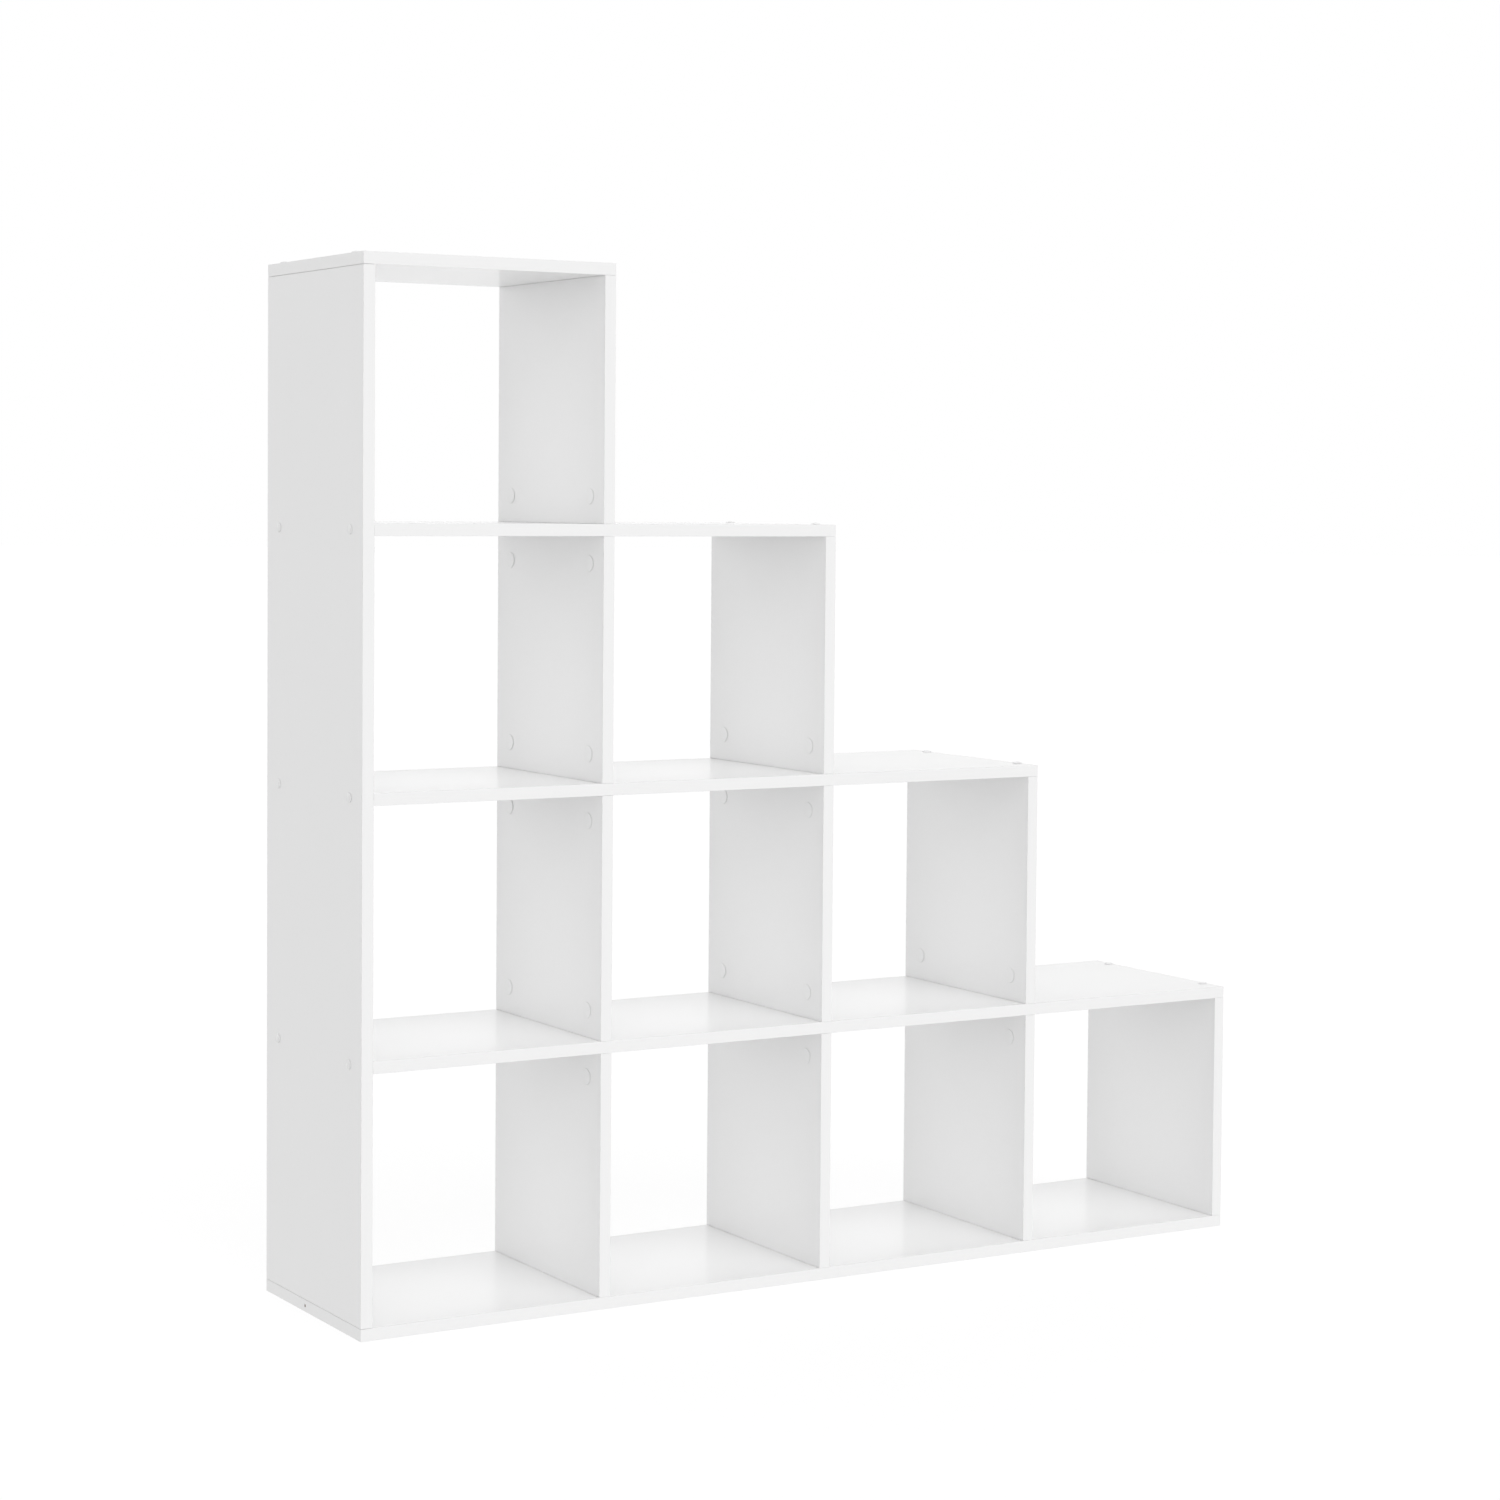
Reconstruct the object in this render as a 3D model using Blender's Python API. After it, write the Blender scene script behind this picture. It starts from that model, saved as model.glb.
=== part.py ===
"""Staircase cube bookcase: open cubes in rows of four, three, two and one above one another.

Metres, +Z up. The origin is the middle of the bottom board's underside, +X is to the right and
the front faces -Y. Rows count from the bottom and columns from the left, both from 1. An upright
closes its cube on the right, and level 0 is the bottom board.
"""

import math
from collections import defaultdict

import bmesh
import bpy
from mathutils import Matrix, Vector

# Boards
STEPS = 4  # cubes in the bottom row, and rows in all
CELL_WIDTH = 0.305  # clear width of a cube
CELL_HEIGHT = 0.303  # clear height of a cube
DEPTH = 0.290  # front to back
BOARD = 0.015  # thickness of every board
EDGE_ROUNDING = 0.0006  # radius of the banding's edges
JOINT_GAP = 0.0003  # left between two faces that touch

# Fasteners, two at each joint
SETBACK = 0.037  # of a fastener from the front or back edge
CLEARANCE = 0.0003  # round a fastener in its hole
SCREW_LENGTH = 0.050
SCREW_RADIUS = 0.0032  # over the thread
SCREW_TIP = 0.004  # length of the pointed end
HEAD_RADIUS = 0.0048
HEAD_HEIGHT = 0.0024  # of the countersunk cone
HEAD_RECESS = 0.0005  # of the head below the board's face

# Caps that cover the screw heads
CAP_RADIUS = 0.006
CAP_RIM = 0.0010  # height of the straight rim
CAP_DOME = 0.0012  # rise of the dome above the rim
CAP_PEG_RADIUS = 0.0022  # peg that plugs into the screw head

# Cam fittings: a bolt with a cam at each end, through a shelf from one upright to the next
CAM_FROM_SHELF = 0.034  # from the shelf's face to the cam's axis
CAM_RADIUS = 0.0072
CAM_LENGTH = 0.0120
BOLT_RADIUS = 0.0030
COVER_RADIUS = 0.0100
COVER_RIM = 0.0004
COVER_DOME = 0.0005

# Blind hole in the left end of the bottom board
END_HOLE_RADIUS = 0.0022
END_HOLE_DEPTH = 0.025
END_HOLE_FROM_BACK = 0.123

# How round shapes are drawn
EDGE_SEGMENTS = 3
ROUND_SIDES = 16
BOLT_SIDES = 8
DOME_RING = 0.6  # where the dome's ring of points lies, as a share of its radius
OVERSHOOT = 0.001  # of a drill past the face it enters or leaves by
WELD = 0.000001
SMOOTH_ANGLE = math.radians(35)

WIDTH = STEPS * CELL_WIDTH + (STEPS + 1) * BOARD
LEFT = -WIDTH / 2
FRONT = -DEPTH / 2
BACK = DEPTH / 2
ENDS = {"front": FRONT + SETBACK, "back": BACK - SETBACK}

UP = Vector((0, 0, 1))
DOWN = Vector((0, 0, -1))
OUT_LEFT = Vector((-1, 0, 0))


def level_z(level):
    """Underside of the board at a level."""
    return level * (CELL_HEIGHT + BOARD)


def upright_x(column):
    """Left face of the upright that closes a column, or of the side panel for column 0."""
    return LEFT + column * (CELL_WIDTH + BOARD)


def columns_in(row):
    """Cubes in a row."""
    return STEPS + 1 - row


def clear_scene():
    for thing in list(bpy.data.objects):
        bpy.data.objects.remove(thing)


def principled(name, colour, roughness, metallic=0.0):
    material = bpy.data.materials.new(name)
    material.use_nodes = True
    shader = material.node_tree.nodes["Principled BSDF"]
    shader.inputs["Base Color"].default_value = (*colour, 1)
    shader.inputs["Roughness"].default_value = roughness
    shader.inputs["Metallic"].default_value = metallic
    return material


def melamine(name):
    return principled(f"{name}_melamine", (0.90, 0.90, 0.90), 0.30)


def cap_and_steel(name):
    """The two materials of a fastener: what shows on the board's face, and what is in the board."""
    cap = principled(f"{name}_cap", (0.88, 0.88, 0.88), 0.30)
    steel = principled(f"{name}_steel", (0.62, 0.62, 0.60), 0.35, 1.0)
    return [cap, steel]


def add_object(name, mesh, parent=None, place=None):
    thing = bpy.data.objects.new(name, mesh)
    bpy.context.scene.collection.objects.link(thing)
    thing.parent = parent
    if place is not None:
        thing.location, rotation, _ = place.decompose()
        thing.rotation_euler = rotation.to_euler()
    return thing


def facing(point, out):
    """Placement of a fastener whose head is at a point of a board's face that looks along out."""
    return Matrix.Translation(point) @ out.to_track_quat("Z", "Y").to_matrix().to_4x4()


def turned_mesh(name, profile, sides):
    """Solid of revolution about +Z, from (radius, height) points that start and end on the axis.

    Its flats, and not its ridges, look along X and Y. Faces above the board's face, at height 0,
    take the first material, and the rest the second.
    """
    bm = bmesh.new()
    ridge = Vector((math.cos(math.pi / sides), math.sin(math.pi / sides), 0))
    points = [bm.verts.new(radius * ridge + height * UP) for radius, height in profile]
    edges = [bm.edges.new(pair) for pair in zip(points, points[1:])]
    bmesh.ops.spin(
        bm, geom=points + edges, axis=(0, 0, 1), cent=(0, 0, 0), angle=math.tau, steps=sides
    )
    bmesh.ops.remove_doubles(bm, verts=bm.verts, dist=WELD)
    bmesh.ops.recalc_face_normals(bm, faces=bm.faces)
    for face in bm.faces:
        face.material_index = 0 if face.calc_center_median().z > 0 else 1
    mesh = bpy.data.meshes.new(name)
    bm.to_mesh(mesh)
    bm.free()
    return mesh


def drill_mesh(name, profile, sides):
    """A drill: the mesh of the hole that it leaves, from (radius, height) points down its wall."""
    top = profile[0][1]
    bottom = profile[-1][1]
    return turned_mesh(name, [(0, top), *profile, (0, bottom)], sides)


def joined_mesh(name, parts):
    """One mesh of several, each a (mesh, placement) pair."""
    bm = bmesh.new()
    for mesh, place in parts:
        known = len(bm.verts)
        bm.from_mesh(mesh)
        bm.verts.ensure_lookup_table()
        bmesh.ops.transform(bm, matrix=place, verts=bm.verts[known:])
    mesh = bpy.data.meshes.new(name)
    bm.to_mesh(mesh)
    bm.free()
    return mesh


def united_mesh(name, first, others):
    """The closed mesh of first together with others, (mesh, placement) pairs that overlap it."""
    base = add_object(name, first)
    tools = [add_object(f"{name}_tool", mesh, place=place) for mesh, place in others]
    for tool in tools:
        union = base.modifiers.new("union", "BOOLEAN")
        union.operation = "UNION"
        union.object = tool
    graph = bpy.context.evaluated_depsgraph_get()
    mesh = bpy.data.meshes.new_from_object(base.evaluated_get(graph))
    mesh.name = name
    for thing in (base, *tools):
        bpy.data.objects.remove(thing)
    return mesh


def dome(radius, seat, rim, rise):
    """Profile of a domed disc, from its crown to the edge of its underside at height seat."""
    top = seat + rim
    ring = (DOME_RING * radius, top + rise * (1 - DOME_RING**2))
    return [(0, top + rise), ring, (radius, top), (radius, seat)]


def screw_shank():
    """Profile of a screw from the rim of its head to its tip, head up."""
    cone_end = -HEAD_RECESS - HEAD_HEIGHT
    return [
        (HEAD_RADIUS, -HEAD_RECESS),
        (SCREW_RADIUS, cone_end),
        (SCREW_RADIUS, SCREW_TIP - SCREW_LENGTH),
        (0, -SCREW_LENGTH),
    ]


def base_screw_mesh():
    return turned_mesh("base_screw", [(0, -HEAD_RECESS), *screw_shank()], ROUND_SIDES)


def capped_screw_mesh():
    """A screw with its cap plugged into the head."""
    cap = dome(CAP_RADIUS, JOINT_GAP, CAP_RIM, CAP_DOME)
    peg = [(CAP_PEG_RADIUS, JOINT_GAP), (CAP_PEG_RADIUS, -HEAD_RECESS)]
    return turned_mesh("capped_screw", [*cap, *peg, *screw_shank()], ROUND_SIDES)


def cam_height():
    """Height of a cam's axis above the middle of the shelf that its bolt goes through."""
    return BOARD / 2 + CAM_FROM_SHELF


def cam_fitting_mesh():
    """Bolt along Z with a cam and its cover at each end, its origin in the middle of the shelf."""
    cover = dome(COVER_RADIUS, JOINT_GAP, COVER_RIM, COVER_DOME)
    body = [(CAM_RADIUS, JOINT_GAP), (CAM_RADIUS, -CAM_LENGTH), (0, -CAM_LENGTH)]
    cam = turned_mesh("cam", [*cover, *body], ROUND_SIDES)
    reach = cam_height()
    bolt = drill_mesh("bolt", [(BOLT_RADIUS, reach), (BOLT_RADIUS, -reach)], BOLT_SIDES)
    for polygon in bolt.polygons:
        polygon.material_index = 1
    places = [facing(Vector((-BOARD / 2, 0, z)), OUT_LEFT) for z in (reach, -reach)]
    return united_mesh("cam_fitting", bolt, [(cam, place) for place in places])


def screw_drills():
    """Drills for the board that a screw goes through and for the end that it bites into."""
    head = HEAD_RADIUS + CLEARANCE
    shank = SCREW_RADIUS + CLEARANCE
    through = [
        (head, OVERSHOOT),
        (head, -HEAD_RECESS),
        (shank, -HEAD_RECESS - HEAD_HEIGHT),
        (shank, -BOARD - OVERSHOOT),
    ]
    pilot = [(shank, -BOARD), (shank, -SCREW_LENGTH - CLEARANCE)]
    return (
        drill_mesh("through_drill", through, ROUND_SIDES),
        drill_mesh("pilot_drill", pilot, ROUND_SIDES),
    )


def cam_drills():
    """Drills for a cam's bore, its bolt's way in from the upright's end, and the shelf's hole."""
    bore = [
        (CAM_RADIUS + CLEARANCE, OVERSHOOT),
        (CAM_RADIUS + CLEARANCE, -CAM_LENGTH - CLEARANCE),
    ]
    bolt = BOLT_RADIUS + CLEARANCE
    channel = [(bolt, OVERSHOOT), (bolt, -CAM_FROM_SHELF)]
    crossing = [(bolt, BOARD / 2 + OVERSHOOT), (bolt, -BOARD / 2 - OVERSHOOT)]
    return (
        drill_mesh("cam_bore_drill", bore, ROUND_SIDES),
        drill_mesh("channel_drill", channel, BOLT_SIDES),
        drill_mesh("crossing_drill", crossing, BOLT_SIDES),
    )


def add_board(name, low, high, parent):
    """A board from its lowest to its highest corner."""
    low, high = Vector(low), Vector(high)
    size = high - low
    bm = bmesh.new()
    bmesh.ops.create_cube(bm, size=1, matrix=Matrix.Diagonal((*size, 1)))
    mesh = bpy.data.meshes.new(name)
    bm.to_mesh(mesh)
    bm.free()
    mesh.materials.append(melamine(name))
    board = add_object(name, mesh, parent, Matrix.Translation((low + high) / 2))
    rounding = board.modifiers.new("rounded_edges", "BEVEL")
    rounding.width = EDGE_ROUNDING
    rounding.segments = EDGE_SEGMENTS
    return board


def add_boards(parent):
    """Bottom board, side panel, top board, shelves and uprights, by name."""
    boards = {}

    def board(name, x, z):
        low = (x[0], FRONT, z[0])
        high = (x[1], BACK, z[1])
        boards[name] = add_board(name, low, high, parent)

    top = level_z(STEPS)
    board("bottom_board", (LEFT, -LEFT), (0, BOARD))
    board("left_side_panel", (LEFT, LEFT + BOARD), (BOARD + JOINT_GAP, top - JOINT_GAP))
    board("top_board", (LEFT, upright_x(1) + BOARD), (top, top + BOARD))
    for row in range(1, STEPS):
        start = LEFT + BOARD + JOINT_GAP
        end = upright_x(columns_in(row)) + BOARD
        board(f"shelf_over_row{row}", (start, end), (level_z(row), level_z(row) + BOARD))
    for row in range(1, STEPS + 1):
        foot = level_z(row - 1) + BOARD + JOINT_GAP
        head = level_z(row) - JOINT_GAP
        for column in range(1, columns_in(row) + 1):
            left = upright_x(column)
            board(f"upright_row{row}_col{column}", (left, left + BOARD), (foot, head))
    return boards


def add_screws(parent, holes):
    """Screws through one board into the end of another, and their holes."""
    capped = capped_screw_mesh()
    bare = base_screw_mesh()
    through, pilot = screw_drills()
    for mesh in (capped, bare):
        for material in cap_and_steel(mesh.name):
            mesh.materials.append(material)

    def pair(name, mesh, board, end_board, x, z, out):
        for end, y in ENDS.items():
            place = facing(Vector((x, y, z)), out)
            add_object(f"{name}_{end}", mesh, parent, place)
            holes[board].append((through, place))
            holes[end_board].append((pilot, place))

    for row in range(1, STEPS):
        shelf = f"shelf_over_row{row}"
        middle = level_z(row) + BOARD / 2
        pair(f"side_screw_row{row}", capped, "left_side_panel", shelf, LEFT, middle, OUT_LEFT)
        last = columns_in(row)
        step = (f"upright_row{row}_col{last}", upright_x(last) + BOARD / 2, level_z(row) + BOARD)
        pair(f"step_screw_row{row}", capped, shelf, *step, UP)
    crown = level_z(STEPS) + BOARD
    tall_ends = {"left_side_panel": upright_x(0), f"upright_row{STEPS}_col1": upright_x(1)}
    for side, (end_board, x) in zip(("left", "right"), tall_ends.items()):
        pair(f"top_screw_{side}", capped, "top_board", end_board, x + BOARD / 2, crown, UP)
    pair("base_screw_side", bare, "bottom_board", "left_side_panel", LEFT + BOARD / 2, 0, DOWN)
    for column in range(1, STEPS + 1):
        upright = f"upright_row1_col{column}"
        middle = upright_x(column) + BOARD / 2
        pair(f"base_screw_col{column}", bare, "bottom_board", upright, middle, 0, DOWN)


def add_cam_fittings(parent, holes, bores):
    """Cam fittings where an upright stands over another, and their holes and bores."""
    fitting = cam_fitting_mesh()
    for material in cap_and_steel(fitting.name):
        fitting.materials.append(material)
    bore, channel, crossing = cam_drills()
    for row in range(1, STEPS):
        middle = level_z(row) + BOARD / 2
        for column in range(1, columns_in(row + 1) + 1):
            face = upright_x(column)
            ends = {
                f"upright_row{row}_col{column}": (-1, UP),
                f"upright_row{row + 1}_col{column}": (1, DOWN),
            }
            for end, y in ENDS.items():
                centre = Vector((face + BOARD / 2, y, middle))
                name = f"cam_fitting_row{row}_col{column}_{end}"
                add_object(name, fitting, parent, Matrix.Translation(centre))
                holes[f"shelf_over_row{row}"].append((crossing, facing(centre, UP)))
                for upright, (side, out) in ends.items():
                    cam = Vector((face, y, middle + side * cam_height()))
                    bores[upright].append((bore, facing(cam, OUT_LEFT)))
                    mouth = Vector((face + BOARD / 2, y, middle + side * BOARD / 2))
                    holes[upright].append((channel, facing(mouth, out)))


def add_end_hole(holes):
    """The small blind hole in the bottom board's left end."""
    wall = [(END_HOLE_RADIUS, OVERSHOOT), (END_HOLE_RADIUS, -END_HOLE_DEPTH)]
    drill = drill_mesh("end_drill", wall, ROUND_SIDES)
    mouth = Vector((LEFT, BACK - END_HOLE_FROM_BACK, BOARD / 2))
    holes["bottom_board"].append((drill, facing(mouth, OUT_LEFT)))


def cut(boards, drills, kind):
    """Cuts each board with the drills collected for it."""
    for name, parts in drills.items():
        mesh = joined_mesh(f"{name}_{kind}", parts)
        cutter = add_object(f"{name}_{kind}", mesh)
        cutter.hide_render = True
        cutter.display_type = "WIRE"
        cutting = boards[name].modifiers.new(kind, "BOOLEAN")
        cutting.operation = "DIFFERENCE"
        cutting.object = cutter


def shade_round():
    """Round pieces are smooth, with their rims kept sharp."""
    for mesh in bpy.data.meshes:
        if mesh.name in ("base_screw", "capped_screw", "cam_fitting"):
            mesh.shade_smooth()
            mesh.set_sharp_from_angle(angle=SMOOTH_ANGLE)


def main():
    clear_scene()
    bookcase = add_object("bookcase", None)
    boards = add_boards(bookcase)
    holes = defaultdict(list)
    bores = defaultdict(list)
    add_screws(bookcase, holes)
    add_cam_fittings(bookcase, holes, bores)
    add_end_hole(holes)
    cut(boards, bores, "bores")
    cut(boards, holes, "holes")
    shade_round()


main()
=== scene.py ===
import math

import bmesh
import bpy
from bpy.props import FloatProperty, FloatVectorProperty, IntProperty, PointerProperty
from mathutils import Matrix, Vector


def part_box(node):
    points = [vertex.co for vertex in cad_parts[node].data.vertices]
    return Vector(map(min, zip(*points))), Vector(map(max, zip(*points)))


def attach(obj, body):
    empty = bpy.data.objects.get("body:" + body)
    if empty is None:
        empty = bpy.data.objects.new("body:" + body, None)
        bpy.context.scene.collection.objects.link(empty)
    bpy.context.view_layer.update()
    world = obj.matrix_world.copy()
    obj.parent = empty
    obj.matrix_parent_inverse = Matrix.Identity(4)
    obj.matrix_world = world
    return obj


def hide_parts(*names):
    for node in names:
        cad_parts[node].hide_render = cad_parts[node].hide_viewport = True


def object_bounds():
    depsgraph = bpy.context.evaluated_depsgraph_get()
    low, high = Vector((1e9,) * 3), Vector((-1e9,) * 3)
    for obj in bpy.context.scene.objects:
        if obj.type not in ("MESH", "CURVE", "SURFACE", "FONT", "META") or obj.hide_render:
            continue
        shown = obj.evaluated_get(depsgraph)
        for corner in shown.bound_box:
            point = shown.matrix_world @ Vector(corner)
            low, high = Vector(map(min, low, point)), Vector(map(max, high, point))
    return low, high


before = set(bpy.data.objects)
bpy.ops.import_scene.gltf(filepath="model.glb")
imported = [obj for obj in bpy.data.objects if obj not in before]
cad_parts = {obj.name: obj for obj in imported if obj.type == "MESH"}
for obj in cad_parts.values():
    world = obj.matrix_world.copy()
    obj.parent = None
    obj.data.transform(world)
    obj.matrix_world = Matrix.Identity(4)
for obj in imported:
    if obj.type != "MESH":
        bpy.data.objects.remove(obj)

bl_info = {
    "name": "Staircase Cube Bookcase",
    "version": (1, 0, 0),
    "blender": (4, 5, 0),
    "location": "3D View > Sidebar > Bookcase",
    "description": "Dresses the packed bookcase: banded melamine boards, caps, cam fittings and a studio",
    "category": "Object",
}

CAD_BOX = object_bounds()
BODY = "root"

NODES = sorted(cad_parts)
SCREWS = [name for name in NODES if "_screw_" in name]
CAM_FITTINGS = [name for name in NODES if name.startswith("cam_fitting")]
UPRIGHTS = [name for name in NODES if name.startswith("upright") or name == "left_side_panel"]
LEVELS = [name for name in NODES if name.startswith("shelf") or name in ("bottom_board", "top_board")]

AXES = X_AXIS, Y_AXIS, Z_AXIS = range(3)
LEFT, FRONT, DOWN, UP = (Vector(way) for way in ((-1, 0, 0), (0, -1, 0), (0, 0, -1), (0, 0, 1)))
MM = 0.001
SMOOTH_ANGLE = math.radians(35)

# How far cutting shapes stand out of a board, and how near to its face counts as on it
OVERSHOOT = 1 * MM
FACE_SLACK = 0.01 * MM

# White melamine and plastic: soft seen from above, with a crisp reflection at a low angle
TOP_COAT = {"Specular_IOR_Level": 0.15, "Coat_Weight": 0.35, "Coat_Roughness": 0.05}

# The part's own joints, and its hardware as its boards are drilled for it
JOINT = 0.3 * MM
BOARD = 15 * MM
SCREW_LENGTH = 50 * MM
SCREW_CREST = 3.15 * MM
SCREW_HOLE = 3.5 * MM
HEAD_RADIUS = 4.8 * MM
HEAD_HOLE = 5.1 * MM
HEAD_RECESS = 0.5 * MM
HEAD_CONE = 2.4 * MM
CAM_HEIGHT = 41.5 * MM
CAM_RADIUS = 7.2 * MM
CAM_HOLE = 7.5 * MM
CAM_DEPTH = 12 * MM
CAM_HOLE_DEPTH = 12.5 * MM
BOLT_RADIUS = 3.0 * MM
BOLT_HOLE = 3.3 * MM
END_HOLE_RADIUS = 2.2 * MM
END_HOLE_DEPTH = 25 * MM
END_HOLE_FROM_BACK = 123 * MM

# The studio: its camera's sensor in millimetres, how far it reaches, where its lights are and how
# narrowly they fall off round their directions
SENSOR_WIDTH = 36.0
VIEW_DISTANCE = 100.0
FLOOR_RADIUS = 60.0
SOFT_BOX, DOORWAY, BACKDROP = FRONT + UP, FRONT + LEFT + 0.1 * UP, -FRONT
BROAD, NARROW = 2.0, 8.0
WHITE = (1.0, 1.0, 1.0, 1.0)


# Shader maths


class Value:
    """A shader output that Python's operators build Math nodes on."""

    def __init__(self, tree, socket):
        self.tree = tree
        self.socket = socket

    def __add__(self, other):
        return self.tree.math("ADD", self, other)

    __radd__ = __add__

    def __sub__(self, other):
        return self.tree.math("SUBTRACT", self, other)

    def __rsub__(self, other):
        return self.tree.math("SUBTRACT", other, self)

    def __mul__(self, other):
        return self.tree.math("MULTIPLY", self, other)

    __rmul__ = __mul__

    def __pow__(self, other):
        return self.tree.math("POWER", self, other)

    def most(self, other):
        """The greater of the two."""
        return self.tree.math("MAXIMUM", self, other)


class Tree:
    """A material's or a world's node tree, built by calls."""

    # A Mix node's sockets for colours, which share their names with those for numbers
    MIX_FIRST, MIX_SECOND, MIX_RESULT = 6, 7, 2

    def __init__(self, owner):
        owner.use_nodes = True
        self.tree = owner.node_tree
        self.tree.nodes.clear()

    def node(self, kind, settings=None, inputs=None, output=0):
        """Adds a node, its settings first and then its sockets, and gives one of its outputs."""
        node = self.tree.nodes.new(kind)
        for name, setting in (settings or {}).items():
            setattr(node, name, setting)
        for name, value in (inputs or {}).items():
            if isinstance(value, Value):
                self.tree.links.new(value.socket, node.inputs[name])
            else:
                node.inputs[name].default_value = value
        return Value(self, node.outputs[output] if node.outputs else None)

    def math(self, operation, *values):
        """A Math node's result for values that are outputs or numbers."""
        return self.node("ShaderNodeMath", {"operation": operation}, dict(enumerate(values)))

    def blend(self, factor, first, second):
        """The colour first where factor is 0 and second where it is 1."""
        inputs = {"Factor": factor, self.MIX_FIRST: first, self.MIX_SECOND: second}
        return self.node("ShaderNodeMix", {"data_type": "RGBA"}, inputs, self.MIX_RESULT)

    def mixed(self, factor, first, second):
        """The shader first where factor is 0 and second where it is 1."""
        return self.node("ShaderNodeMixShader", None, {0: factor, 1: first, 2: second})

    def place(self):
        """The point of the surface, in metres in the piece's own frame."""
        return self.node("ShaderNodeTexCoord", output="Object")

    def noise(self, size, detail=2.0, roughness=0.5):
        """Smooth noise from 0 to 1 whose lumps are about size metres across."""
        inputs = {"Vector": self.place(), "Scale": 1 / size, "Detail": detail, "Roughness": roughness}
        return self.node("ShaderNodeTexNoise", None, inputs)

    def bump(self, height, depth):
        """A normal from heights of 0 to 1 that stand for depth metres."""
        return self.node("ShaderNodeBump", None, {"Height": height, "Distance": depth})

    def surface(self, **inputs):
        """The Principled surface, with underscores for the spaces in its sockets' names."""
        sockets = {name.replace("_", " "): value for name, value in inputs.items()}
        return self.node("ShaderNodeBsdfPrincipled", None, sockets)

    def finish(self, shader, kind="Material"):
        """Makes a shader the surface of the material, or of the world."""
        self.node(f"ShaderNodeOutput{kind}", None, {"Surface": shader})

    def seen_or_mirrored(self):
        """1 for what the camera sees, straight on or by a reflection, and 0 for what lights."""
        camera = self.node("ShaderNodeLightPath", output="Is Camera Ray")
        glossy = self.node("ShaderNodeLightPath", output="Is Glossy Ray")
        through = self.node("ShaderNodeLightPath", output="Is Transmission Ray")
        return camera.most(glossy).most(through)


def shaded(rgb, share=1.0):
    """A colour for a colour socket, made darker or lighter by a share."""
    return (*(channel * share for channel in rgb), 1.0)


# Settings that a user would change


class BoardSettings(bpy.types.PropertyGroup):
    """Sizes and finish of the melamine boards"""

    band_thickness: FloatProperty(
        name="Band thickness", description="Thickness of the glued edge band",
        default=0.8 * MM, min=0.1 * MM, unit="LENGTH", subtype="DISTANCE",
    )
    glue_line: FloatProperty(
        name="Glue line", description="Hairline between a band and the panel behind it",
        default=0.05 * MM, min=0.0, unit="LENGTH", subtype="DISTANCE",
    )
    rounding: FloatProperty(
        name="Rounding", description="Radius to which a band's edges are milled",
        default=0.4 * MM, min=0.0, unit="LENGTH", subtype="DISTANCE",
    )
    joint: FloatProperty(
        name="Joint", description="Hairline between a board's butted end and the board that it meets",
        default=0.1 * MM, min=0.0, max=JOINT, unit="LENGTH", subtype="DISTANCE",
    )
    rounding_steps: IntProperty(
        name="Rounding steps", description="Facets across a rounded edge", default=4, min=1, max=8,
    )
    face_colour: FloatVectorProperty(
        name="Face colour", description="White of the melamine faces",
        default=(0.90, 0.90, 0.90), size=3, min=0.0, max=1.0, subtype="COLOR",
    )
    band_colour: FloatVectorProperty(
        name="Band colour", description="White of the edge bands",
        default=(0.90, 0.90, 0.90), size=3, min=0.0, max=1.0, subtype="COLOR",
    )
    chip_colour: FloatVectorProperty(
        name="Chip colour", description="Raw particleboard in the drilled holes",
        default=(0.42, 0.30, 0.19), size=3, min=0.0, max=1.0, subtype="COLOR",
    )
    roughness: FloatProperty(
        name="Roughness", description="Roughness of the satin melamine",
        default=0.30, min=0.0, max=1.0, subtype="FACTOR",
    )
    grain_size: FloatProperty(
        name="Grain size", description="Width of the pimples pressed into the melamine",
        default=1.6 * MM, min=0.1 * MM, unit="LENGTH", subtype="DISTANCE",
    )
    grain_depth: FloatProperty(
        name="Grain depth", description="Depth of those pimples",
        default=0.01 * MM, min=0.0, unit="LENGTH", subtype="DISTANCE",
    )


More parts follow.
